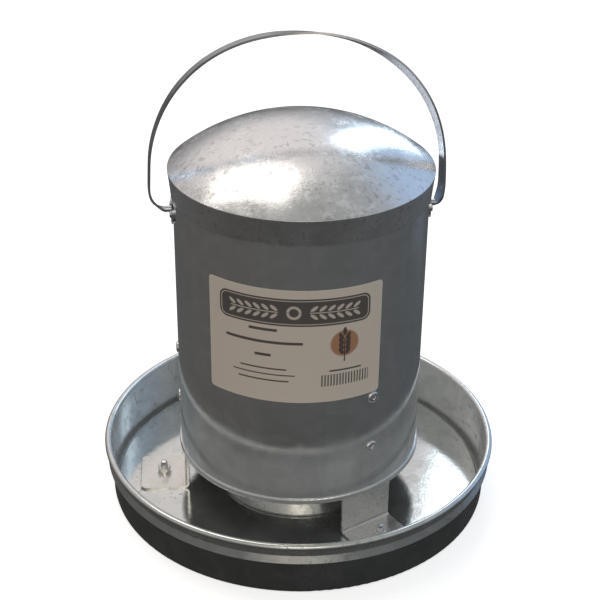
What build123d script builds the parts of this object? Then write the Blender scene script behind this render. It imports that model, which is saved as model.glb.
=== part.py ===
from build123d import *
import os
from math import asin, cos, degrees, radians, sin, sqrt

# A gravity poultry feeder in galvanised steel sheet. A round pan stands on the ground, a
# straight tube full of feed stands over it on three angle brackets, a cone on the pan floor
# spreads the feed, and a domed lid and a strap bail finish the top.
# Millimetres, +Z up, ground at z = 0, the bail's pivots on the X axis, the label towards -Y.

# ---- driving sizes ----
tube_radius = 85.0            # outside of the tube wall
tube_height = 213.8           # lower edge to the top of the bead
tube_sheet = 0.6
trough_width = 49.2           # tube wall to the pan wall at the floor
pan_depth = 38.0              # rim top above the pan floor
pan_sheet = 0.7
feed_gap = 30.6               # pan floor to the tube's lower edge
bail_rise = 118.6             # pivot axis to the middle of the strap at the crown

# ---- clearances ----
press = 0.02                  # radial, a fastener in a hole of its own body
running = 0.05                # radial, the bail's pins in the tube
joint_gap = 0.35              # faces that pass each other across a joint
skirt_gap = 0.6               # radial, the lid's skirt round the tube at its lower edge
seat = 0.05                   # stand-off between a leg's edges and the tube wall

# ---- pan ----
pan_radius = tube_radius + trough_width
floor_rise = 3.0              # underside of the floor above the ground, room for bolt heads
gutter_width = 2.6            # between the raised floor's edge and the wall
wall_flare = 0.8              # how far the wall leans out by its top
rim_wire_radius = 1.65
rim_slack = 0.05              # wire to the sheet curled round it
hem_high = 10.2               # the returned hem leaves the wall this far below the rim top
hem_low = 15.4                # the hem's edge below the rim top
hem_flare = 1.7               # how far the hem's edge stands out from the wall

floor_top = floor_rise + pan_sheet
rim_top = floor_top + pan_depth
curl_radius = rim_wire_radius + rim_slack + pan_sheet
rim_mid = pan_radius + wall_flare + pan_sheet / 2
curl_mid = curl_radius - pan_sheet / 2
rim_centre = rim_mid + curl_mid
rim_level = rim_top - curl_radius
floor_edge = pan_radius - gutter_width

# ---- tube ----
tube_inside = tube_radius - tube_sheet
tube_bottom = floor_top + feed_gap
tube_top = tube_bottom + tube_height
hem_height = 4.2
hem_thickness = 1.9
top_wire_radius = 0.75
top_bead_radius = top_wire_radius + rim_slack + tube_sheet
top_bead_centre = tube_radius - top_bead_radius
seam_width = 8.0
seam_thickness = 1.0
seam_azimuth = 90.0

# ---- brackets, three, evenly round the tube ----
bracket_count = 3
bracket_first = 60.0
bracket_width = 40.0
bracket_sheet = 1.5
bracket_height = feed_gap + 85.4
foot_length = 33.0            # leg to the foot's outer edge
bend_inside = 2.5
foot_corner = 3.5
leg_face = sqrt(tube_inside ** 2 - (bracket_width / 2) ** 2) - seat
leg_back = leg_face - bracket_sheet
foot_reach = leg_face + foot_length
foot_top = floor_top + bracket_sheet

# ---- fasteners ----
bolt_radius = 2.5
bolt_circle = leg_face + foot_length / 2
bolt_head_radius = 2 * bolt_radius
bolt_head_height = 1.9
bolt_stand = 4.5              # thread left above the nut
washer_radius = 2.08 * bolt_radius
washer_thickness = 0.9
nut_flats = 3.2 * bolt_radius
nut_height = 4.0
leg_rivet_radius = 2.0
leg_rivet_head = 4.1
leg_rivet_levels = (feed_gap + 37.3, feed_gap + 76.4)   # above the pan floor
small_rivet_radius = 1.5
small_rivet_head = 2.7

# ---- spreader cone ----
cone_radius = tube_radius - 25.0
cone_flange = 10.0            # turned in under the cone
cone_foot_height = 18.0       # steep foot, below the shallow cone
cone_foot_lean = 11.2
cone_height = 46.0
cone_sheet = 0.6
cone_crown = 6.0
cone_rivet_circle = cone_radius - cone_flange + 2.9
cone_rivet_first = 90.0

# ---- lid ----
lid_radius = tube_radius + 3.0
lid_sheet = 0.6
lid_sag = 31.0                # crown above the dome's corner
skirt_depth = 17.0

# ---- bail and its lugs ----
bail_half_width = tube_radius + 11.9   # to the middle of the strap
bail_set = -3.0               # the arch sits a little to one side of the tube's axis
bail_square = 2.15            # 2 is an ellipse, more is squarer
bail_width = 9.0
bail_sheet = 1.5
bail_root_width = 5.4
curl_rise = 13.0
pin_radius = 2.2
pin_head_radius = 4.2
pin_head = 1.2
pivot_below_top = 31.5
lug_height = 14.0
lug_width = 26.0
lug_sheet = 1.5
lug_rivet_offset = 8.5

# ---- label ----
label_azimuth = -97.5
label_width = 119.0
label_height = 82.0
label_low = feed_gap + 81.2   # above the pan floor
label_sheet = 0.2
label_corner = 2.5

# ---- derived levels ----
pivot_level = tube_top - pivot_below_top
lug_outside = tube_radius + lug_sheet
pin_root = lug_outside + 2.6
crown_level = pivot_level + bail_rise
side_level = pivot_level + curl_rise + 8.0

corner_radius = lid_radius - lid_sheet / 2
skirt_radius = tube_radius + skirt_gap + lid_sheet / 2
dome_radius = (corner_radius ** 2 + lid_sag ** 2) / (2 * lid_sag)
bead_to_dome = dome_radius - lid_sheet / 2 - top_bead_radius - joint_gap
dome_centre = tube_top - top_bead_radius - sqrt(bead_to_dome ** 2 - top_bead_centre ** 2)
dome_corner = dome_centre + sqrt(dome_radius ** 2 - corner_radius ** 2)
dome_crown = dome_centre + dome_radius
skirt_low = dome_corner - skirt_depth
seam_low = tube_bottom + hem_height - 0.5
seam_high = skirt_low - 1.5   # the lock seam is beaten flat above this, under the lid's skirt

os.makedirs("parts", exist_ok=True)


def azimuths(first, count):
    return [first + 360.0 / count * k for k in range(count)]


def outward(azimuth, level, radius=0.0):
    """Plane facing away from the tube's axis, its own y pointing up."""
    a = radians(azimuth)
    return Plane(
        origin=(radius * cos(a), radius * sin(a), level),
        x_dir=(-sin(a), cos(a), 0),
        z_dir=(cos(a), sin(a), 0),
    )


def radial(azimuth):
    """Upright plane through the axis: its own x runs outward, its own y runs up."""
    a = radians(azimuth)
    return Plane(origin=(0, 0, 0), x_dir=(cos(a), sin(a), 0), z_dir=(sin(a), -cos(a), 0))


def flat(azimuth, level):
    """Level plane turned so that its own x runs outward."""
    a = radians(azimuth)
    return Plane(origin=(0, 0, level), x_dir=(cos(a), sin(a), 0), z_dir=(0, 0, 1))


# ---- pan: one spun sheet, floor raised inside a standing ring, rim curled and hemmed back down ----
with BuildPart() as pan:
    with BuildSketch(Plane.XZ):
        with BuildLine():
            half = pan_sheet / 2
            wall = FilletPolyline(
                (0, floor_rise + half),
                (floor_edge - half, floor_rise + half),
                (floor_edge + half, half),
                (pan_radius - 0.2, half),
                (pan_radius + half, 2.6),
                (rim_mid, rim_top - hem_low),
                (rim_mid, rim_level),
                radius=0.8,
            )
            CenterArc((rim_centre, rim_level), curl_mid, 180, -285)
            offset(amount=half, side=Side.BOTH)
        make_face()
        with BuildLine():
            FilletPolyline(
                (rim_mid + pan_sheet, rim_level - curl_mid),
                (rim_mid + pan_sheet, rim_top - hem_high),
                (rim_mid + pan_sheet + hem_flare, rim_top - hem_low),
                radius=1.2,
            )
            offset(amount=half, side=Side.BOTH)
        make_face()
        Rectangle(2, 3 * rim_top, align=(Align.MAX, Align.CENTER), mode=Mode.SUBTRACT)
    revolve(axis=Axis.Z)
    for azimuth in azimuths(bracket_first, bracket_count):
        with BuildSketch(flat(azimuth, 0)):
            with Locations((bolt_circle, 0)):
                Circle(bolt_radius + press)
        extrude(amount=floor_top + 1, mode=Mode.SUBTRACT)
    for azimuth in azimuths(cone_rivet_first, 3):
        with BuildSketch(flat(azimuth, 0)):
            with Locations((cone_rivet_circle, 0)):
                Circle(small_rivet_radius + press)
        extrude(amount=floor_top + 1, mode=Mode.SUBTRACT)
pan.part.label = "pan"
export_step(pan.part, "parts/pan.step")

# ---- rim wire: steel wire that the pan's edge is curled round ----
with BuildPart() as pan_rim_wire:
    with BuildSketch(Plane.XZ):
        with Locations((rim_centre, rim_level)):
            Circle(rim_wire_radius)
    revolve(axis=Axis.Z)
pan_rim_wire.part.label = "pan_rim_wire"
export_step(pan_rim_wire.part, "parts/pan_rim_wire.step")

# ---- spreader cone: pressed sheet cone, its flange turned in and riveted to the pan floor ----
with BuildPart() as spreader_cone:
    with BuildSketch(Plane.XZ):
        with BuildLine():
            half = cone_sheet / 2
            FilletPolyline(
                (0, floor_top + cone_height),
                (cone_crown, floor_top + cone_height - 1.2),
                (cone_radius - cone_foot_lean, floor_top + cone_foot_height),
                (cone_radius, floor_top + half),
                (cone_radius - cone_flange, floor_top + half),
                radius=0.9,
            )
            offset(amount=half, side=Side.BOTH)
        make_face()
        Rectangle(2, 3 * cone_height, align=(Align.MAX, Align.CENTER), mode=Mode.SUBTRACT)
    revolve(axis=Axis.Z)
    for azimuth in azimuths(cone_rivet_first, 3):
        with BuildSketch(flat(azimuth, floor_top - 1)):
            with Locations((cone_rivet_circle, 0)):
                Circle(small_rivet_radius + press)
        extrude(amount=cone_sheet + 2, mode=Mode.SUBTRACT)
spreader_cone.part.label = "spreader_cone"
export_step(spreader_cone.part, "parts/spreader_cone.step")

# ---- cone rivets: one end on the flange inside the cone, the other under the floor ----
with BuildPart() as cone_rivets:
    for azimuth in azimuths(cone_rivet_first, 3):
        rivet_top = floor_top + cone_sheet
        with BuildSketch(flat(azimuth, rivet_top)):
            with Locations((cone_rivet_circle, 0)):
                Circle(small_rivet_head)
        extrude(amount=1.1, taper=35)
        with BuildSketch(flat(azimuth, rivet_top)):
            with Locations((cone_rivet_circle, 0)):
                Circle(small_rivet_radius)
        extrude(amount=-(rivet_top - floor_rise + 0.2))
        with BuildSketch(flat(azimuth, floor_rise)):
            with Locations((cone_rivet_circle, 0)):
                Circle(small_rivet_head - 0.3)
        extrude(amount=-1.0)
cone_rivets.part.label = "cone_rivets"
export_step(cone_rivets.part, "parts/cone_rivets.step")


# ---- brackets: bent flat bar, leg inside the tube, foot out on the pan floor ----
def bracket(azimuth):
    with BuildPart() as angle:
        with BuildSketch(radial(azimuth)):
            with BuildLine():
                half = bracket_sheet / 2
                FilletPolyline(
                    (leg_face - half, floor_top + bracket_height),
                    (leg_face - half, floor_top + half),
                    (foot_reach, floor_top + half),
                    radius=bend_inside + half,
                )
                offset(amount=half, side=Side.BOTH)
            make_face()
        extrude(amount=bracket_width / 2, both=True)
        with BuildSketch(flat(azimuth, 0)):
            with Locations((leg_back - 2, 0)):
                Rectangle(foot_reach - leg_back + 2, 2 * bracket_width, align=(Align.MIN, Align.CENTER))
            with Locations((leg_back - 20, 0)):
                RectangleRounded(
                    foot_reach - leg_back + 20, bracket_width, foot_corner,
                    align=(Align.MIN, Align.CENTER), mode=Mode.SUBTRACT,
                )
        extrude(amount=foot_top + bend_inside, mode=Mode.SUBTRACT)
        with BuildSketch(flat(azimuth, 0)):
            with Locations((bolt_circle, 0)):
                Circle(bolt_radius + press)
        extrude(amount=foot_top + 1, mode=Mode.SUBTRACT)
        for level in leg_rivet_levels:
            with BuildSketch(outward(azimuth, floor_top + level, leg_back - 1)):
                Circle(leg_rivet_radius + press)
            extrude(amount=bracket_sheet + 2, mode=Mode.SUBTRACT)
    return angle


names = ("bracket_back_right", "bracket_left", "bracket_front_right")
for name, azimuth in zip(names, azimuths(bracket_first, bracket_count)):
    angle = bracket(azimuth)
    angle.part.label = name
    export_step(angle.part, "parts/" + name + ".step")

# ---- foot bolts, washers and nuts: one set through each foot and the pan floor ----
bolt_top = foot_top + washer_thickness + nut_height + bolt_stand
with BuildPart() as foot_bolts:
    for azimuth in azimuths(bracket_first, bracket_count):
        with BuildSketch(flat(azimuth, floor_rise)):
            with Locations((bolt_circle, 0)):
                Circle(bolt_head_radius)
        extrude(amount=-bolt_head_height, taper=22)
        with BuildSketch(flat(azimuth, floor_rise - 0.5)):
            with Locations((bolt_circle, 0)):
                Circle(bolt_radius)
        extrude(amount=bolt_top - 1.6 - floor_rise + 0.5)
        with BuildSketch(flat(azimuth, bolt_top - 1.6)):
            with Locations((bolt_circle, 0)):
                Circle(bolt_radius)
        extrude(amount=1.6, taper=40)
foot_bolts.part.label = "foot_bolts"
export_step(foot_bolts.part, "parts/foot_bolts.step")

with BuildPart() as foot_washers:
    for azimuth in azimuths(bracket_first, bracket_count):
        with BuildSketch(flat(azimuth, foot_top)):
            with Locations((bolt_circle, 0)):
                Circle(washer_radius)
                Circle(bolt_radius + 0.25, mode=Mode.SUBTRACT)
        extrude(amount=washer_thickness)
foot_washers.part.label = "foot_washers"
export_step(foot_washers.part, "parts/foot_washers.step")

with BuildPart() as foot_nuts:
    for azimuth in azimuths(bracket_first, bracket_count):
        with BuildSketch(flat(azimuth, foot_top + washer_thickness)):
            with Locations((bolt_circle, 0)):
                RegularPolygon(nut_flats / 2, 6, major_radius=False)
        extrude(amount=nut_height)
        with BuildSketch(flat(azimuth, foot_top)):
            with Locations((bolt_circle, 0)):
                Circle(bolt_radius + press)
        extrude(amount=nut_height + washer_thickness + 1, mode=Mode.SUBTRACT)
foot_nuts.part.label = "foot_nuts"
export_step(foot_nuts.part, "parts/foot_nuts.step")

# ---- tube: rolled sheet with a lock seam, a folded hem below, a bead turned in over a wire on top ----
with BuildPart() as tube:
    with BuildSketch(Plane.XZ):
        with BuildLine():
            half = tube_sheet / 2
            Line((tube_inside + half, tube_bottom + 0.3), (tube_inside + half, tube_top - top_bead_radius))
            CenterArc((top_bead_centre, tube_top - top_bead_radius), top_bead_radius - half, 0, 275)
            offset(amount=half, side=Side.BOTH)
        make_face()
        with Locations((tube_inside, tube_bottom)):
            RectangleRounded(hem_thickness, hem_height, 0.85, align=(Align.MIN, Align.MIN))
    revolve(axis=Axis.Z)
    seam_turn = degrees(seam_width / tube_radius)
    with BuildSketch(radial(seam_azimuth - seam_turn / 2)):
        with Locations((tube_inside + tube_sheet / 2, seam_low)):
            Rectangle(seam_thickness + tube_sheet / 2, seam_high - seam_low, align=(Align.MIN, Align.MIN))
    revolve(axis=Axis.Z, revolution_arc=seam_turn)
    for azimuth in azimuths(bracket_first, bracket_count):
        for level in leg_rivet_levels:
            with BuildSketch(outward(azimuth, floor_top + level, leg_back)):
                Circle(leg_rivet_radius + press)
            extrude(amount=tube_radius - leg_back + 3, mode=Mode.SUBTRACT)
    for azimuth in (0, 180):
        with BuildSketch(outward(azimuth, pivot_level, tube_inside - 5)):
            Circle(pin_radius + running)
        extrude(amount=10, mode=Mode.SUBTRACT)
        for side in (-1, 1):
            lean = degrees(asin(lug_rivet_offset / tube_radius)) * side
            with BuildSketch(outward(azimuth + lean, pivot_level, tube_inside - 5)):
                Circle(small_rivet_radius + press)
            extrude(amount=10, mode=Mode.SUBTRACT)
tube.part.label = "tube"
export_step(tube.part, "parts/tube.step")

# ---- tube top wire: stiffens the bead that the lid rests on ----
with BuildPart() as tube_top_wire:
    with BuildSketch(Plane.XZ):
        with Locations((top_bead_centre, tube_top - top_bead_radius)):
            Circle(top_wire_radius)
    revolve(axis=Axis.Z)
tube_top_wire.part.label = "tube_top_wire"
export_step(tube_top_wire.part, "parts/tube_top_wire.step")

# ---- leg rivets: blind rivets through the tube wall and a bracket leg ----
with BuildPart() as leg_rivets:
    for azimuth in azimuths(bracket_first, bracket_count):
        for level in leg_rivet_levels:
            with BuildSketch(outward(azimuth, floor_top + level, tube_radius)):
                Circle(leg_rivet_head)
            extrude(amount=1.5, taper=32)
            with BuildSketch(outward(azimuth, floor_top + level, leg_back - 0.5)):
                Circle(leg_rivet_radius)
            extrude(amount=tube_radius - leg_back + 1.0)
            with BuildSketch(outward(azimuth, floor_top + level, leg_back)):
                Circle(leg_rivet_radius + 1.1)
            extrude(amount=-2.6, taper=12)
            with BuildSketch(outward(azimuth, floor_top + level, tube_radius + 0.6)):
                Circle(1.15)
            extrude(amount=3, mode=Mode.SUBTRACT)
leg_rivets.part.label = "leg_rivets"
export_step(leg_rivets.part, "parts/leg_rivets.step")


# ---- bail lugs: curved doubling plates that the bail's pins turn in ----
def lug(azimuth):
    turn = degrees(lug_width / tube_radius)
    with BuildPart() as plate:
        with BuildSketch(radial(azimuth - turn / 2)):
            with Locations((tube_radius, pivot_level)):
                Rectangle(lug_sheet, lug_height, align=(Align.MIN, Align.CENTER))
        revolve(axis=Axis.Z, revolution_arc=turn)
        fillet(plate.edges().filter_by(lambda e: abs(e.length - lug_sheet) < 0.01), lug_height / 2 - 1)
        with BuildSketch(outward(azimuth, pivot_level, tube_inside - 5)):
            Circle(pin_radius + running)
        extrude(amount=12, mode=Mode.SUBTRACT)
        for side in (-1, 1):
            lean = degrees(asin(lug_rivet_offset / tube_radius)) * side
            with BuildSketch(outward(azimuth + lean, pivot_level, tube_inside - 5)):
                Circle(small_rivet_radius + press)
            extrude(amount=12, mode=Mode.SUBTRACT)
    return plate


for name, azimuth in (("handle_lug_right", 0), ("handle_lug_left", 180)):
    plate = lug(azimuth)
    plate.part.label = name
    export_step(plate.part, "parts/" + name + ".step")

# ---- lug rivets: two to each lug ----
with BuildPart() as lug_rivets:
    for azimuth in (0, 180):
        for side in (-1, 1):
            lean = degrees(asin(lug_rivet_offset / tube_radius)) * side
            with BuildSketch(outward(azimuth + lean, pivot_level, lug_outside)):
                Circle(small_rivet_head)
            extrude(amount=1.1, taper=35)
            with BuildSketch(outward(azimuth + lean, pivot_level, tube_inside - 0.7)):
                Circle(small_rivet_radius)
            extrude(amount=lug_outside - tube_inside + 1.0)
            with BuildSketch(outward(azimuth + lean, pivot_level, tube_inside - 0.1)):
                Circle(small_rivet_head - 0.2)
            extrude(amount=-1.0)
lug_rivets.part.label = "lug_rivets"
export_step(lug_rivets.part, "parts/lug_rivets.step")

# ---- label: printed self-adhesive film round the front of the tube ----
with BuildPart() as label:
    turn = degrees(label_width / tube_radius)
    with BuildSketch(radial(label_azimuth - turn / 2)):
        with Locations((tube_radius, floor_top + label_low)):
            Rectangle(label_sheet, label_height, align=(Align.MIN, Align.MIN))
    revolve(axis=Axis.Z, revolution_arc=turn)
    fillet(label.edges().filter_by(lambda e: abs(e.length - label_sheet) < 0.01), label_corner)
label.part.label = "label"
export_step(label.part, "parts/label.step")

# ---- lid: pressed dome with a skirt that closes in on the tube, resting on the top bead ----
with BuildPart() as lid:
    with BuildSketch(Plane.XZ):
        with BuildLine():
            half = lid_sheet / 2
            middle_x = corner_radius / 2
            middle_z = dome_centre + sqrt(dome_radius ** 2 - middle_x ** 2)
            dome = ThreePointArc((0, dome_crown), (middle_x, middle_z), (corner_radius, dome_corner))
            skirt = Line((corner_radius, dome_corner), (skirt_radius, skirt_low))
            offset(amount=half, side=Side.BOTH)
        make_face()
        Rectangle(2, 3 * dome_crown, align=(Align.MAX, Align.CENTER), mode=Mode.SUBTRACT)
    revolve(axis=Axis.Z)
lid.part.label = "lid"
export_step(lid.part, "parts/lid.step")

# ---- bail: one flat strap, sprung into an arch, curled in below and drawn down to pins ----
# how far the strap's face is rolled round its own length, along the bail from left to right
rolls = (
    (0.0, 0), (0.08, 20), (0.18, 4), (0.3, 2), (0.45, -3), (0.56, -21),
    (0.65, -31), (0.72, -25), (0.78, -14), (0.92, -18), (1.0, 0),
)


def roll_at(place):
    for (a, low), (b, high) in zip(rolls, rolls[1:]):
        if place <= b:
            return low + (high - low) * (1 - cos(radians(180) * (place - a) / (b - a))) / 2
    return 0.0


def curl(side, steps):
    """Quarter turn from the pin's root up to the side of the arch."""
    reach = bail_half_width + side * bail_set - pin_root
    points = []
    for k in range(steps):
        turn = radians(90.0 * k / steps)
        x = side * (pin_root + reach * sin(turn))
        points.append((x, pivot_level + curl_rise * (1 - cos(turn))))
    return points


arch = []
arch_steps = 18
arch_height = crown_level - side_level
for k in range(arch_steps + 1):
    turn = radians(180.0 - 180.0 * k / arch_steps)
    across = abs(cos(turn)) ** (2 / bail_square) * (1 if cos(turn) > 0 else -1)
    rise = abs(sin(turn)) ** (2 / bail_square)
    arch.append((bail_set + bail_half_width * across, side_level + arch_height * rise))
path = curl(-1, 5) + arch + curl(1, 5)[::-1]

with BuildPart() as handle:
    last = len(path) - 1
    for k, (x, z) in enumerate(path):
        before = path[max(k - 1, 0)]
        after = path[min(k + 1, last)]
        run = Vector(after[0] - before[0], 0, after[1] - before[1]).normalized()
        if k in (0, last):
            run = Vector(-1, 0, 0)
        out = Vector(-run.Z, 0, run.X)
        roll = radians(roll_at(k / last))
        across = Vector(0, 1, 0) * cos(roll) + out * sin(roll)
        taper = min(1.0, min(k, last - k) / 3)
        with BuildSketch(Plane(origin=(x, 0, z), x_dir=across, z_dir=run)):
            Rectangle(bail_root_width + (bail_width - bail_root_width) * taper, bail_sheet)
    loft()
    for azimuth in (0, 180):
        with BuildSketch(outward(azimuth, pivot_level, pin_root + 1.2)):
            Circle(pin_radius)
        extrude(amount=-(pin_root + 1.2 - tube_inside + joint_gap + 0.5))
        with BuildSketch(outward(azimuth, pivot_level, tube_inside - joint_gap - 0.15)):
            Circle(pin_head_radius)
        extrude(amount=-pin_head, taper=20)
handle.part.label = "handle"
export_step(handle.part, "parts/handle.step")
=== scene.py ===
from math import cos, pi, radians, sin, sqrt

import bpy
from mathutils import Matrix, Vector


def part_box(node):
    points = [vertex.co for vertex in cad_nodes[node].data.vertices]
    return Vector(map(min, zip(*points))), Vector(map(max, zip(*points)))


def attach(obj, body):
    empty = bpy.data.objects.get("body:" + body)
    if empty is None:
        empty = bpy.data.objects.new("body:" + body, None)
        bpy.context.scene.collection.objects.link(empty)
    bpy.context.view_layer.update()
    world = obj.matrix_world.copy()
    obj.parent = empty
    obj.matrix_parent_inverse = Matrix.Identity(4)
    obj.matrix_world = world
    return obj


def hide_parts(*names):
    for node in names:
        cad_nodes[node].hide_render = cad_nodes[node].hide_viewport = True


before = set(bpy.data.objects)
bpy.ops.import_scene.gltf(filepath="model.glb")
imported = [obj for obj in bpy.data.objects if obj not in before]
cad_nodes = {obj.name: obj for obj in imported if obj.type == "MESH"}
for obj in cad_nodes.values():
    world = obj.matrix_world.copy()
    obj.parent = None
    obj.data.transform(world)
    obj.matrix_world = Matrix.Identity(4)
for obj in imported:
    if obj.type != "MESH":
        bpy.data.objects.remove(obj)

bpy.ops.object.select_all(action="DESELECT")
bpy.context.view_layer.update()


# The room: a camera a little above the feeder, a pale floor, and a soft room round it.
# A cool window stands close behind on the right and a wide warm lamp behind on the left.
# The ground is dark to the metal, which is why sheet steel standing on it looks grey.


class Socket:
    """One output of a node. Sums on it add Math nodes, and node() adds any other kind."""

    def __init__(self, tree, output=None):
        self.tree = tree
        self.output = output

    def node(self, kind, settings=None, sockets=None, out=0):
        made = self.tree.nodes.new(kind)
        for setting, choice in (settings or {}).items():
            if setting == "stops":
                ramp = made.color_ramp
                while len(ramp.elements) < len(choice):
                    ramp.elements.new(1.0)
                for element, (place, colour) in zip(ramp.elements, choice):
                    element.position = place
                    element.color = (*colour, 1.0)
            else:
                setattr(made, setting, choice)
        for key, value in (sockets or {}).items():
            entry = [s for s in made.inputs if s.enabled][key] if isinstance(key, int) else None
            if entry is None:
                entry = next(s for s in made.inputs if s.name == key and s.enabled)
            if isinstance(value, Socket):
                self.tree.links.new(value.output, entry)
            elif entry.type == "RGBA":
                entry.default_value = (*value, 1.0)
            else:
                entry.default_value = value
        if isinstance(out, int):
            return Socket(self.tree, made.outputs[out] if made.outputs else None)
        return Socket(self.tree, next(s for s in made.outputs if s.name == out and s.enabled))

    def sum(self, operation, *values, clip=False):
        sockets = dict(enumerate(values))
        return self.node("ShaderNodeMath", {"operation": operation, "use_clamp": clip}, sockets)

    def __add__(self, other):
        return self.sum("ADD", self, other)

    def __radd__(self, other):
        return self.sum("ADD", other, self)

    def __sub__(self, other):
        return self.sum("SUBTRACT", self, other)

    def __rsub__(self, other):
        return self.sum("SUBTRACT", other, self)

    def __mul__(self, other):
        return self.sum("MULTIPLY", self, other)

    def __rmul__(self, other):
        return self.sum("MULTIPLY", other, self)

    def __truediv__(self, other):
        return self.sum("DIVIDE", self, other)

    def __rtruediv__(self, other):
        return self.sum("DIVIDE", other, self)

    def __lt__(self, other):
        return self.sum("LESS_THAN", self, other)

    def __abs__(self):
        return self.sum("ABSOLUTE", self)

    def ease(self, low, high, start=0.0, end=1.0):
        """Rises smoothly from start to end while the value goes from low to high."""
        span = {"Value": self, "From Min": low, "From Max": high, "To Min": start, "To Max": end}
        return self.node("ShaderNodeMapRange", {"interpolation_type": "SMOOTHSTEP"}, span)

    def blend(self, colour_0, colour_1):
        """The colour between two others, with this value as the share of the second."""
        pair = {"Factor": self, "A": colour_0, "B": colour_1}
        return self.node("ShaderNodeMix", {"data_type": "RGBA"}, pair, out="Result")


camera_place = Vector((-0.0720, -0.8232, 0.5956))
camera_heading = radians(85.0)
camera_dip = radians(28.61)
camera_roll = radians(0.62)
camera_data = bpy.data.cameras.new("camera")
camera_data.lens = 81.69
camera_data.sensor_width = 36.0
camera = bpy.data.objects.new("camera", camera_data)
level_ahead = Vector((cos(camera_heading), sin(camera_heading), 0.0))
ahead = level_ahead * cos(camera_dip) - Vector((0.0, 0.0, sin(camera_dip)))
level_right = ahead.cross(Vector((0.0, 0.0, 1.0))).normalized()
level_up = level_right.cross(ahead)
right = level_right * cos(camera_roll) + level_up * sin(camera_roll)
up = level_up * cos(camera_roll) - level_right * sin(camera_roll)
camera.matrix_world = Matrix.Translation(camera_place) @ Matrix((right, up, -ahead)).transposed().to_4x4()
bpy.context.scene.collection.objects.link(camera)
bpy.context.scene.camera = camera
bpy.context.scene.view_settings.view_transform = "Standard"


def toward(azimuth, elevation):
    """The unit vector in a direction given in degrees, with +X at azimuth 0."""
    level = cos(radians(elevation))
    return Vector((level * cos(radians(azimuth)), level * sin(radians(azimuth)), sin(radians(elevation))))


def lamp(name, place, aim, wide, high, colour, radiance, turn=0.0):
    """A flat soft lamp of that width and height in metres, turned about its own beam."""
    data = bpy.data.lights.new(name, "AREA")
    data.shape = "RECTANGLE"
    data.size = wide
    data.size_y = high
    data.color = colour
    data.energy = radiance * pi * wide * high
    made = bpy.data.objects.new(name, data)
    beam = (aim - place).to_track_quat("-Z", "Y") @ Matrix.Rotation(radians(turn), 3, "Z").to_quaternion()
    made.rotation_mode = "QUATERNION"
    made.location = place
    made.rotation_quaternion = beam
    made.visible_camera = False
    bpy.context.scene.collection.objects.link(made)


lid_middle = Vector((0.0, 0.0, 0.26))
pan_middle = Vector((0.06, -0.06, 0.004))
window_place = Vector((0.225, 0.395, 0.455))
lamp("window", window_place, lid_middle, 0.11, 0.41, (0.76, 0.90, 1.0), 2.4)
over_left = Vector((-0.88, 0.66, 2.26))
under_left = Vector((-0.88, 0.67, 0.0))
lamp("ceiling_lamp", over_left, under_left, 1.75, 0.82, (1.0, 0.95, 0.86), 2.2, turn=-30.0)
front_place = pan_middle + toward(-94, 34) * 2.4
lamp("front_lamp", front_place, pan_middle, 0.9, 0.55, (1.0, 0.92, 0.80), 2.0)

room = bpy.data.worlds.new("room")
room.use_nodes = True
room.node_tree.nodes.clear()
sky = Socket(room.node_tree)
heading = sky.node("ShaderNodeTexCoord", out="Generated")
height = sky.node("ShaderNodeSeparateXYZ", {}, {0: heading}, out="Z")


def level_of(elevation):
    """Where an elevation in degrees lies on a ramp from straight down, 0, to straight up, 1."""
    return 0.5 + 0.5 * sin(radians(elevation))


walls = [
    (level_of(-50), (0.026, 0.026, 0.025)),
    (level_of(-37), (0.040, 0.040, 0.039)),
    (level_of(-32), (0.085, 0.086, 0.088)),
    (level_of(-12), (0.095, 0.095, 0.095)),
    (level_of(-3), (0.13, 0.13, 0.13)),
    (level_of(8), (0.38, 0.38, 0.38)),
    (level_of(30), (0.46, 0.46, 0.47)),
    (level_of(60), (0.36, 0.36, 0.35)),
    (level_of(90), (0.36, 0.36, 0.34)),
]
walls_seen = sky.node("ShaderNodeValToRGB", {"stops": walls}, {"Fac": height * 0.5 + 0.5})


def patch(azimuth, elevation, inner, outer):
    """A round soft patch of the room: 1 within the inner angle, 0 past the outer one."""
    aim = toward(azimuth, elevation)
    both_ways = {0: heading, 1: aim}
    nearness = sky.node("ShaderNodeVectorMath", {"operation": "DOT_PRODUCT"}, both_ways, out="Value")
    return nearness.ease(cos(radians(outer)), cos(radians(inner)))


warm_wall = patch(100.0, 46.0, 14.0, 40.0) * 0.9
cool_side = patch(38.0, 16.0, 10.0, 46.0) * 0.9
warm_front = patch(-95.0, 20.0, 8.0, 38.0) * 0.9
seen = warm_wall.blend(walls_seen, (0.94, 0.87, 0.84))
seen = cool_side.blend(seen, (0.45, 0.60, 0.82))
seen = warm_front.blend(seen, (0.66, 0.61, 0.54))
rightness = sky.node("ShaderNodeSeparateXYZ", {}, {0: heading}, out="X") * 0.5 + 0.5
side_tint = rightness.blend((1.05, 1.0, 0.96), (0.93, 1.0, 1.06))
tinted = {"Factor": 1.0, "A": seen, "B": side_tint}
seen = sky.node("ShaderNodeMix", {"data_type": "RGBA", "blend_type": "MULTIPLY"}, tinted, out="Result")
to_camera = sky.node("ShaderNodeLightPath", out="Is Camera Ray")
seen = to_camera.blend(seen, (1.0, 1.0, 1.0))
glow = sky.node("ShaderNodeBackground", {}, {"Color": seen})
sky.node("ShaderNodeOutputWorld", {}, {"Surface": glow})
bpy.context.scene.world = room

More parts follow.
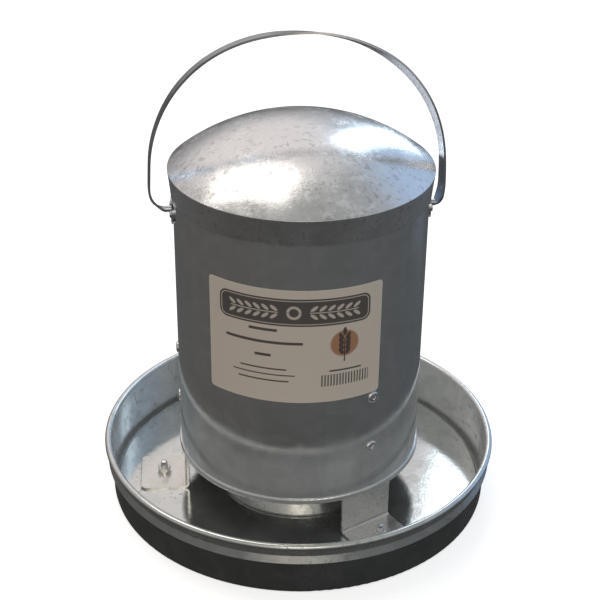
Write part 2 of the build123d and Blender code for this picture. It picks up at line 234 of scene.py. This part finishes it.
floor_size = 12.0
bpy.ops.mesh.primitive_plane_add(size=floor_size, location=(0.0, 0.0, 0.0))
floor = bpy.context.object
floor.name = "floor"
floor_paint = bpy.data.materials.new("pale_floor")
floor_paint.use_nodes = True
floor_paint.node_tree.nodes.clear()
ground = Socket(floor_paint.node_tree)
matt = ground.node("ShaderNodeBsdfDiffuse", {}, {"Color": (0.90, 0.90, 0.90)})
lift = ground.node("ShaderNodeEmission", {}, {"Color": (1.0, 1.0, 1.0), "Strength": 0.60})
both = ground.node("ShaderNodeAddShader", {}, {0: matt, 1: lift})
ground.node("ShaderNodeOutputMaterial", {}, {"Surface": both})
floor.data.materials.append(floor_paint)
floor.visible_glossy = False
floor.visible_diffuse = False


# The pan: one pressed sheet of bright galvanised steel with a raised floor, and a rim rolled
# over a wire. Zinc froze on it in crystals, which tilt the gloss a little from one to the next.
# The floor is the brightest sheet of the feeder, and it mirrors the tube and the room.


def plain_finish(name):
    """A new material with its own shader, and the start of its nodes."""
    material = bpy.data.materials.new(name)
    material.use_nodes = True
    shader = next(n for n in material.node_tree.nodes if n.type == "BSDF_PRINCIPLED")
    return material, shader, Socket(material.node_tree)


def galvanised(
    name,
    colour,
    roughness,
    metal=0.8,
    crystal=0.008,
    mottle=0.10,
    smudge=0.12,
    grain=0.5,
    flecks=0.0,
    dents=0.3,
    zones=None,
):
    """Galvanised sheet steel: zinc crystals of that size in metres, fine grain, smudges and flecks.

    zones gives the places where a piece is lighter, rougher or more metallic than the rest of it.
    """
    material, shader, start = plain_finish(name)
    place = start.node("ShaderNodeTexCoord", out="Object")
    frayed = {"Vector": place, "Scale": 2.2 / crystal, "Detail": 4.0}
    ragged = start.node("ShaderNodeTexNoise", {}, frayed, out="Color")
    bend = start.node("ShaderNodeVectorMath", {"operation": "SUBTRACT"}, {0: ragged, 1: (0.5, 0.5, 0.5)})
    strength = {"Vector": bend, "Scale": 0.9 * crystal}
    bend = start.node("ShaderNodeVectorMath", {"operation": "SCALE"}, strength)
    bent = start.node("ShaderNodeVectorMath", {"operation": "ADD"}, {0: place, 1: bend})
    crystals = {"Vector": bent, "Scale": 1.0 / crystal, "Smoothness": 0.25}
    tint = start.node("ShaderNodeTexVoronoi", {"feature": "SMOOTH_F1"}, crystals, out="Color")
    cell = start.node("ShaderNodeSeparateXYZ", {}, {0: tint}, out="X")
    fine = start.node("ShaderNodeTexNoise", {}, {"Vector": place, "Scale": 1500.0, "Detail": 2.0})
    middling_size = {"Vector": place, "Scale": 240.0, "Detail": 4.0, "Roughness": 0.6}
    middling = start.node("ShaderNodeTexNoise", {}, middling_size)
    broad_size = {"Vector": place, "Scale": 26.0, "Detail": 6.0, "Roughness": 0.62}
    broad = start.node("ShaderNodeTexNoise", {}, broad_size)
    slow = start.node("ShaderNodeTexNoise", {}, {"Vector": place, "Scale": 16.0, "Detail": 1.0})
    fleck = middling.ease(0.56, 0.64) * broad.ease(0.42, 0.56) * flecks
    shade = 1.0 + (cell - 0.5) * mottle + (broad - 0.5) * (smudge * 2.0) + (fine - 0.5) * 0.10 - fleck * 0.40
    uneven = 1.0 + (cell - 0.5) * 0.3 + (broad - 0.5) * 1.4 + (middling - 0.5) * 0.8
    rough = roughness * uneven + fleck * 0.10
    if zones:
        zone_shade, zone_rough, zone_metal = zones(start, place)
        shade = shade * zone_shade
        rough = rough * zone_rough
        start.tree.links.new(zone_metal.output, shader.inputs["Metallic"])
    else:
        shader.inputs["Metallic"].default_value = metal
    bright = tuple(min(1.0, 1.25 * part) for part in colour)
    start.tree.links.new((shade * 0.8).blend((0.0, 0.0, 0.0), bright).output, shader.inputs["Base Color"])
    start.tree.links.new(rough.output, shader.inputs["Roughness"])
    skin = (fine - 0.5) * (grain * 0.00002) + (middling - 0.5) * (grain * 0.00006)
    relief = skin + (slow - 0.5) * (dents * 0.0012)
    bump = start.node("ShaderNodeBump", {}, {"Strength": 1.0, "Distance": 1.0, "Height": relief})
    start.tree.links.new(bump.output, shader.inputs["Normal"])
    return material


def round_place(start, place):
    """How far a point lies from the feeder's axis and how high above the ground, in millimetres."""
    flat = start.node("ShaderNodeVectorMath", {"operation": "MULTIPLY"}, {0: place, 1: (1000.0, 1000.0, 0.0)})
    radius = start.node("ShaderNodeVectorMath", {"operation": "LENGTH"}, {0: flat}, out="Value")
    return radius, start.node("ShaderNodeSeparateXYZ", {}, {0: place}, out="Z") * 1000.0


def cover(node, material):
    """Gives a piece its finish in place of the plain one."""
    for slot in cad_nodes[node].material_slots:
        slot.material = material


def pan_zones(start, place):
    """The wall is duller than the floor inside, with painted shade in the crease at its foot. Outside, below
    the hem, it is painted darker as a painted reflection of the dark ground.
    """
    radius, rise = round_place(start, place)
    middle_of_wall = rise * 0.026 + 134.48
    outside = (radius - middle_of_wall).ease(-0.12, 0.12)
    below_hem = rise.ease(26.4, 25.6)
    wall = radius.ease(128.0, 133.5) * (1.0 - outside)
    # Painted shade: the wall is darkened in the crease where it meets the floor.
    crease_shade = (rise.ease(9.0, 4.5) * wall) * 0.30
    # The outside below the hem is darkened as a painted reflection of the dark ground.
    shade = 1.0 - outside * below_hem * 0.20 - crease_shade - wall * 0.06
    rough = 1.0 + wall * 0.9 + outside * 0.6
    metal = 0.84 - wall * 0.50 + outside * below_hem * 0.12
    return shade, rough, metal


pan_steel = galvanised(
    "bright_pan_sheet",
    (0.69, 0.71, 0.70),
    0.10,
    crystal=0.010,
    mottle=0.14,
    grain=0.9,
    flecks=0.8,
    zones=pan_zones,
)
cover("pan", pan_steel)
cover("pan_rim_wire", pan_steel)


# The spreader cone: a low cone on a steep foot, spun from duller sheet with its flange turned in,
# and riveted to the middle of the pan. It sends the feed outwards, under the tube's edge.

cone_steel = galvanised("cone_sheet", (0.58, 0.59, 0.57), 0.26, flecks=0.5)
cover("spreader_cone", cone_steel)


# The brackets: three angles bent from thick galvanised strip, which is matter and paler than sheet.
# The leg is riveted inside the tube, and the foot is bolted down to the pan's floor.

bracket_steel = galvanised("bracket_strip", (0.80, 0.78, 0.75), 0.26, metal=0.68, crystal=0.006, grain=1.5)
for node in ("bracket_left", "bracket_front_right", "bracket_back_right"):
    cover(node, bracket_steel)


# The foot bolts: three zinc-plated M5 screws, put up through the pan and the brackets' feet.
# Each stands a little past its nut, with a rolled thread and a chamfered tip.

zinc_plate = galvanised("bright_zinc_plate", (0.80, 0.80, 0.81), 0.16, metal=0.92, crystal=0.002, dents=0.0)
bolt_low, bolt_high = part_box("foot_bolts")
bolt_head = 0.005
bolt_head_height = 0.0019
head_recess = 0.0005
bolt_circle = -bolt_low.x - bolt_head
thread_root = 0.00222
thread_height = 0.00028
thread_pitch = 0.0008
foot_turns = (60.0, 180.0, 300.0)


def pick(piece, test):
    """Goes to edit mode with those faces selected whose middle and normal pass the test."""
    bpy.ops.object.mode_set(mode="EDIT")
    bpy.ops.mesh.select_mode(type="FACE")
    bpy.ops.mesh.select_all(action="DESELECT")
    bpy.ops.object.mode_set(mode="OBJECT")
    for face in piece.data.polygons:
        face.select = test(face.center, face.normal)
    bpy.ops.object.mode_set(mode="EDIT")


def grow(piece, side, steps):
    """Draws out a turned piece's upper (1) or lower (-1) face, in steps of a rise and a new width."""
    end = max(side * corner.co.z for corner in piece.data.vertices)
    pick(piece, lambda middle, normal: side * normal.z > 0.9 and side * middle.z > end - 0.00001)
    for rise, width in steps:
        move = {"value": (0.0, 0.0, side * rise)}
        bpy.ops.mesh.extrude_region_move(TRANSFORM_OT_translate=move)
        bpy.ops.transform.resize(value=(width, width, 1.0), center_override=(0.0, 0.0, 0.0))
    bpy.ops.object.mode_set(mode="OBJECT")


def fix_place(piece):
    """Puts a piece's place and turn into its mesh, so that its object sits at the origin."""
    bpy.ops.object.select_all(action="DESELECT")
    piece.select_set(True)
    bpy.context.view_layer.objects.active = piece
    bpy.ops.object.transform_apply(location=True, rotation=True, scale=True)


def join_up(pieces, name):
    """Makes one piece of several, with its place in its mesh."""
    for piece in pieces:
        fix_place(piece)
    for piece in pieces:
        piece.select_set(True)
    bpy.context.view_layer.objects.active = pieces[0]
    bpy.ops.object.join()
    pieces[0].name = name
    pieces[0].data.name = name
    bpy.ops.object.select_all(action="DESELECT")
    return pieces[0]


def set_out(pattern, name, places):
    """Copies a piece made on the Z axis to each of its places, and joins the copies."""
    copies = []
    for place in places:
        copy = pattern.copy()
        copy.data = pattern.data.copy()
        bpy.context.scene.collection.objects.link(copy)
        copy.matrix_world = place
        copies.append(copy)
    bpy.context.view_layer.update()
    bpy.data.objects.remove(pattern)
    return join_up(copies, name)


def fasten(piece, node):
    """Stands a detailed fastener in for the plain one, on the feeder."""
    piece.data.materials.clear()
    piece.data.materials.append(zinc_plate)
    piece.select_set(True)
    bpy.context.view_layer.objects.active = piece
    bpy.ops.object.shade_smooth_by_angle(angle=radians(32.0))
    piece.select_set(False)
    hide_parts(node)
    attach(piece, "feeder")


def round_feeder(turn, radius, level, twist=0.0):
    """A place at that angle round the feeder, for a piece that stands upright."""
    spin = Matrix.Rotation(radians(turn), 4, "Z") @ Matrix.Translation((radius, 0.0, level))
    return spin @ Matrix.Rotation(radians(twist), 4, "Z")


stud_low = bolt_low.z + bolt_head_height
stud_length = bolt_high.z - stud_low
tip = 0.0009
bpy.ops.mesh.primitive_cylinder_add(vertices=32, radius=thread_root, depth=stud_length - tip)
stud = bpy.context.object
stud.location.z = stud_low + (stud_length - tip) / 2
fix_place(stud)
grow(stud, 1, ((tip * 0.55, 0.88), (tip * 0.45, 0.62)))
bpy.ops.mesh.primitive_cylinder_add(vertices=32, radius=bolt_head, depth=bolt_head_height * 0.6)
head = bpy.context.object
head.location.z = stud_low - bolt_head_height * 0.3
fix_place(head)
head_edge = ((bolt_head_height * 0.25, 0.9), (bolt_head_height * 0.15, 0.62))
grow(head, -1, head_edge + ((0.0, 0.45), (-head_recess, 0.9)))
thread_turns = int((stud_length - tip - 0.0012) / thread_pitch)
ridge_place = (thread_root, 0.0, stud_low + 0.0006)
upright = (pi / 2, 0.0, 0.0)
bpy.ops.mesh.primitive_circle_add(vertices=4, radius=thread_height, location=ridge_place, rotation=upright)
ridge = bpy.context.object
fix_place(ridge)
winding = ridge.modifiers.new("winding", "SCREW")
winding.axis = "Z"
winding.screw_offset = thread_pitch
winding.iterations = thread_turns
winding.steps = 20
winding.render_steps = 20
winding.use_merge_vertices = False
bpy.ops.object.modifier_apply(modifier="winding")
bpy.ops.object.mode_set(mode="EDIT")
bpy.ops.mesh.select_all(action="SELECT")
bpy.ops.mesh.fill_holes(sides=0)
bpy.ops.mesh.normals_make_consistent(inside=False)
bpy.ops.object.mode_set(mode="OBJECT")
bolt = join_up([stud, head, ridge], "foot_bolt")
bolt_places = [round_feeder(turn, bolt_circle, 0.0, 70.0 + turn) for turn in foot_turns]
fasten(set_out(bolt, "foot_bolts_threaded", bolt_places), "foot_bolts")


# The foot nuts: plated hexagon nuts, 8 mm across flats, on plain washers.
# Both faces are chamfered round, and the bore is countersunk.

nut_low, nut_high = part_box("foot_nuts")
nut_height = nut_high.z - nut_low.z
nut_flats = 0.008
nut_corner = nut_flats / sqrt(3.0)
nut_chamfer = 0.0006


def cut(piece, tool, operation):
    """Cuts a piece with a tool, or keeps only what both share, and removes the tool."""
    chisel = piece.modifiers.new("cut", "BOOLEAN")
    chisel.operation = operation
    chisel.solver = "EXACT"
    chisel.object = tool
    bpy.context.view_layer.objects.active = piece
    bpy.ops.object.modifier_apply(modifier="cut")
    bpy.data.objects.remove(tool)


bpy.ops.mesh.primitive_cylinder_add(vertices=6, radius=nut_corner, depth=nut_height)
nut = bpy.context.object
bpy.ops.mesh.primitive_cylinder_add(vertices=64, radius=nut_corner * 1.01, depth=nut_height - 2 * nut_chamfer)
turned = bpy.context.object
for side in (1, -1):
    grow(turned, side, ((nut_chamfer + 0.00002, 0.80),))
cut(nut, turned, "INTERSECT")
bore = thread_root + thread_height
bpy.ops.mesh.primitive_cylinder_add(vertices=32, radius=bore, depth=nut_height * 2.0)
cut(nut, bpy.context.object, "DIFFERENCE")
mouth = (0.0, 0.0, nut_height / 2 - 0.0002)
bpy.ops.mesh.primitive_cone_add(vertices=32, radius1=0.0023, radius2=0.0034, depth=0.0009, location=mouth)
cut(nut, bpy.context.object, "DIFFERENCE")
nut_middle = (nut_low.z + nut_high.z) / 2
nut_places = [round_feeder(turn, bolt_circle, nut_middle, 12.0 + 0.4 * turn) for turn in foot_turns]
fasten(set_out(nut, "foot_nuts_chamfered", nut_places), "foot_nuts")
cover("foot_washers", zinc_plate)


# The leg rivets: blind rivets through the tube and a bracket's leg, with a domed flange, and the
# broken end of the pulling pin down in the middle. The lug and cone rivets are small solid ones.

rivet_low, rivet_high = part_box("leg_rivets")
rivet_radius = 0.0041
flange_edge = 0.0003
wall_radius = 0.085
bpy.ops.mesh.primitive_cylinder_add(vertices=32, radius=rivet_radius, depth=flange_edge)
rivet = bpy.context.object
rivet.location.z = flange_edge / 2
fix_place(rivet)
dome = ((0.0003, 0.97), (0.00035, 0.90), (0.0003, 0.80), (0.00012, 0.66), (0.00002, 0.80))
recess = ((-0.0008, 0.86), (0.0, 0.60), (0.0003, 0.85))
shank_and_tail = ((0.0, 0.48), (0.0021, 1.0), (0.0, 1.45), (0.0008, 1.05), (0.0012, 0.75))
grow(rivet, 1, dome + recess)
grow(rivet, -1, shank_and_tail)
lay_out = Matrix.Rotation(radians(90.0), 4, "Y")
rivet_places = []
for turn in foot_turns:
    for level in (rivet_low.z + rivet_radius, rivet_high.z - rivet_radius):
        rivet_places.append(round_feeder(turn, wall_radius, level) @ lay_out)
fasten(set_out(rivet, "leg_rivets_blind", rivet_places), "leg_rivets")
for node in ("cone_rivets", "lug_rivets"):
    cover(node, zinc_plate)


# The tube: a sheet of galvanised steel, rolled and lock-seamed at the back, hemmed at the foot,
# and turned in over a wire at the top. It is riveted to the three brackets.


def tube_zones(start, place):
    """The lower part is painted lighter, a painted reflection of the bright pan, and is glossier; feed and
    hands have dulled the rest a little.
    """
    rise = round_place(start, place)[1]
    band_edge_size = {"Vector": place, "Scale": 22.0, "Detail": 5.0, "Roughness": 0.65}
    band_edge_noise = start.node("ShaderNodeTexNoise", {}, band_edge_size)
    low = (rise + (band_edge_noise - 0.5) * 16.0).ease(84.0, 62.0)
    upright = {0: place, 1: (300.0, 300.0, 9.0)}
    upright = start.node("ShaderNodeVectorMath", {"operation": "MULTIPLY"}, upright)
    streak = start.node("ShaderNodeTexNoise", {}, {"Vector": upright, "Scale": 1.0, "Detail": 3.0})
    # Painted reflection: the low band is lightened to stand for the bright pan mirrored in the tube.
    shade = 1.0 + low * 0.12 + (streak - 0.5) * 0.10
    rough = 1.0 - low * 0.25 + (streak - 0.5) * 0.3
    metal = 0.80 - low * 0.16
    return shade, rough, metal


tube_steel = galvanised(
    "tube_sheet", (0.63, 0.64, 0.64), 0.13, crystal=0.007, smudge=0.10, dents=0.12, zones=tube_zones
)
cover("tube", tube_steel)
cover("tube_top_wire", tube_steel)


# The handle: one strap of dull galvanised steel, sprung into an arch and drawn down to a pin at each
# end. The pins turn in two lugs, which are riveted to the tube.

strap_steel = galvanised(
    "handle_strap", (0.58, 0.58, 0.60), 0.24, metal=0.92, crystal=0.006, grain=1.0, flecks=0.5
)
cover("handle", strap_steel)
cover("handle_lug_left", strap_steel)
cover("handle_lug_right", strap_steel)


# The lid: a pressed dome of bright galvanised sheet, with a skirt that closes in on the tube.
# The press left faint rings round it, and handling left flecks and pale smears all over the top.


def lid_marks(start, place):
    """Rings from the press, small light and dark flakes, and scuffs, all on the top only, and the whole top
    painted a little lighter as painted light.
    """
    radius, rise = round_place(start, place)
    outward = start.node("ShaderNodeVectorMath", {"operation": "NORMALIZE"}, {0: place})
    around = start.node("ShaderNodeVectorMath", {"operation": "MULTIPLY"}, {0: outward, 1: (1.6, 1.6, 0.0)})
    ring_size = start.node("ShaderNodeCombineXYZ", {}, {"Z": radius * 0.35})
    streaked = start.node("ShaderNodeVectorMath", {"operation": "ADD"}, {0: around, 1: ring_size})
    ring = start.node("ShaderNodeTexNoise", {}, {"Vector": streaked, "Scale": 1.0, "Detail": 4.0})
    fray = start.node("ShaderNodeTexNoise", {}, {"Vector": place, "Scale": 500.0, "Detail": 3.0}, out="Color")
    fray = start.node("ShaderNodeVectorMath", {"operation": "SCALE"}, {"Vector": fray, "Scale": 0.004})
    torn = start.node("ShaderNodeVectorMath", {"operation": "ADD"}, {0: place, 1: fray})
    flakes = {"Vector": torn, "Scale": 310.0}
    flake_tint = start.node("ShaderNodeTexVoronoi", {"feature": "F1"}, flakes, out="Color")
    flake = start.node("ShaderNodeSeparateXYZ", {}, {0: flake_tint}, out="X")
    patchy = start.node("ShaderNodeTexNoise", {}, {"Vector": place, "Scale": 45.0, "Detail": 3.0})
    dull = start.node("ShaderNodeTexNoise", {}, {"Vector": place, "Scale": 14.0, "Detail": 3.0})
    top = 1.0 - rise.ease(247.0, 245.6)
    light_flake = flake.ease(0.70, 0.82) * patchy.ease(0.40, 0.58) * top
    dark_flake = flake.ease(0.30, 0.18) * patchy.ease(0.44, 0.60) * top
    scratch_turn = {"Vector": place, "Scale": (90.0, 420.0, 90.0), "Rotation": (0.0, 0.0, radians(35.0))}
    scratch_place = start.node("ShaderNodeMapping", {}, scratch_turn)
    scratch = start.node("ShaderNodeTexNoise", {}, {"Vector": scratch_place, "Scale": 1.0, "Detail": 4.0})
    scuff = scratch.ease(0.60, 0.70) * patchy.ease(0.46, 0.60) * top
    # top * 0.04 paints the whole top lighter than the skirt: painted light.
    shade = 1.0 + light_flake * 0.07 - dark_flake * 0.14 - scuff * 0.20 + (ring - 0.5) * 0.12 + top * 0.04
    marks = light_flake * 0.30 + dark_flake * 0.30 + scuff * 0.4
    rough = 1.0 + marks + (ring - 0.5) * 0.4 + (dull - 0.5) * 0.7
    metal = 0.90 - light_flake * 0.06 - dull.ease(0.45, 0.70) * 0.05
    return shade, rough, metal


lid_steel = galvanised(
    "lid_sheet", (0.79, 0.79, 0.80), 0.21, crystal=0.012, mottle=0.07, grain=1.3, flecks=0.7, zones=lid_marks
)
cover("lid", lid_steel)


# The label: a thin printed film, cream, stuck to the front of the tube below the lid.
# It carries a dark banner with a garland of grain, plain rules, an ear of grain and a striped block.

label_film, shader, start = plain_finish("printed_label")
label_low, label_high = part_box("label")
label_azimuth = radians(-97.5)
place = start.node("ShaderNodeTexCoord", out="Object")
east = start.node("ShaderNodeSeparateXYZ", {}, {0: place}, out="X")
north = start.node("ShaderNodeSeparateXYZ", {}, {0: place}, out="Y")
rise = start.node("ShaderNodeSeparateXYZ", {}, {0: place}, out="Z")
across = (start.sum("ARCTAN2", north, east) - label_azimuth) * (1000.0 * wall_radius)
along = rise * 1000.0 - 500.0 * (label_low.z + label_high.z)


def printed_box(middle, size, corner):
    """Ink inside a box with round corners, in millimetres from the label's middle."""
    out_x = start.sum("MAXIMUM", abs(across - middle[0]) - (size[0] / 2 - corner), 0.0)
    out_y = start.sum("MAXIMUM", abs(along - middle[1]) - (size[1] / 2 - corner), 0.0)
    edge = start.sum("SQRT", out_x * out_x + out_y * out_y) - corner
    return edge.ease(0.12, -0.12)


def printed_grain(x, y, lean, size):
    """Ink inside a grain of corn, an oval that leans from upright."""
    run = (x * cos(radians(lean)) + y * sin(radians(lean))) / (size[0] / 2)
    climb = (y * cos(radians(lean)) - x * sin(radians(lean))) / (size[1] / 2)
    return (run * run + climb * climb).ease(1.15, 0.85)


banner_level = 25.3
banner_middle = (0.0, banner_level)
banner = printed_box(banner_middle, (101.0, 19.5), 5.5)
outline = printed_box(banner_middle, (98.6, 17.1), 4.4) - printed_box(banner_middle, (97.4, 15.9), 3.9)
garland_x = abs(across)
garland_y = abs(along - banner_level)
grain_pitch = 5.6
grain_lean = 52.0
in_row = start.sum("FLOORED_MODULO", garland_x - 10.0, grain_pitch) - grain_pitch / 2
garland_ends = printed_box(banner_middle, (86.0, 14.0), 1.0) - printed_box(banner_middle, (20.0, 17.0), 1.0)
garland = printed_grain(in_row, garland_y - 2.9, -grain_lean, (2.3, 5.8)) * garland_ends
stem = printed_box(banner_middle, (84.0, 0.7), 0.3) - printed_box(banner_middle, (20.0, 1.0), 0.3)
knot = printed_grain(garland_x, garland_y, 0.0, (9.6, 9.6))
knot = knot - printed_grain(garland_x, garland_y, 0.0, (6.0, 6.0))
light_ink = start.sum("MINIMUM", outline + garland + stem + knot, 1.0, clip=True)

dark_ink = banner
rule_middle = -20.0
thick_rules = ((12.0, 19.0, 2.0), (3.0, 52.0, 2.0), (-6.5, 11.0, 2.0))
thin_rules = ((-16.5, 31.0, 1.1), (-20.8, 42.0, 0.9), (-25.2, 34.0, 1.1))
for level, length, height in thick_rules + thin_rules:
    dark_ink = dark_ink + printed_box((rule_middle, level), (length, height), height / 2.2)
stripe_pitch = 2.0
stripe_width = 0.9
stripe = start.sum("FLOORED_MODULO", across, stripe_pitch) < stripe_width
stripes = stripe * printed_box((34.0, -25.0), (33.0, 8.6), 0.1)
dark_ink = dark_ink + stripes + printed_box((34.0, -18.0), (22.0, 1.2), 0.5)

ear_x = across - 33.0
ear_y = along - 1.5
disc = printed_grain(ear_x, ear_y, 0.0, (19.0, 19.0))
ear = printed_box((33.0, -3.5), (0.9, 17.0), 0.4) + printed_grain(ear_x, ear_y - 8.6, 0.0, (2.6, 6.0))
for step in range(4):
    for side in (-1, 1):
        ear = ear + printed_grain(ear_x - side * 2.3, ear_y - 5.2 + 3.6 * step, -side * 28.0, (2.6, 5.6))
ear = start.sum("MINIMUM", ear, 1.0)

fibre = start.node("ShaderNodeTexNoise", {}, {"Vector": place, "Scale": 1800.0, "Detail": 2.0})
ageing = start.node("ShaderNodeTexNoise", {}, {"Vector": place, "Scale": 35.0, "Detail": 4.0})
film = ((ageing - 0.5) * 0.5 + 0.5).blend((0.88, 0.79, 0.69), (0.94, 0.85, 0.75))
rim = 1.0 - printed_box((0.0, 0.0), (117.6, 80.6), 2.0)
film = (rim * 0.6).blend(film, (0.95, 0.90, 0.80))
film = (disc * 0.9).blend(film, (0.52, 0.22, 0.10))
ink = start.sum("MINIMUM", start.sum("MAXIMUM", dark_ink, ear), 1.0, clip=True)
film = (ink * 0.95).blend(film, (0.075, 0.068, 0.070))
film = (light_ink * 0.95).blend(film, (0.80, 0.72, 0.64))
film = ((fibre - 0.5) * 0.2 + 0.06).blend(film, (0.5, 0.45, 0.4))
start.tree.links.new(film.output, shader.inputs["Base Color"])
gloss = 0.42 + (ageing - 0.5) * 0.16 - ink * 0.08
start.tree.links.new(gloss.output, shader.inputs["Roughness"])
wrinkle = start.node("ShaderNodeTexNoise", {}, {"Vector": place, "Scale": 60.0, "Detail": 2.0})
relief = (wrinkle - 0.5) * 0.0002 + (fibre - 0.5) * 0.000006
bump = start.node("ShaderNodeBump", {}, {"Strength": 1.0, "Distance": 1.0, "Height": relief})
start.tree.links.new(bump.output, shader.inputs["Normal"])
cover("label", label_film)
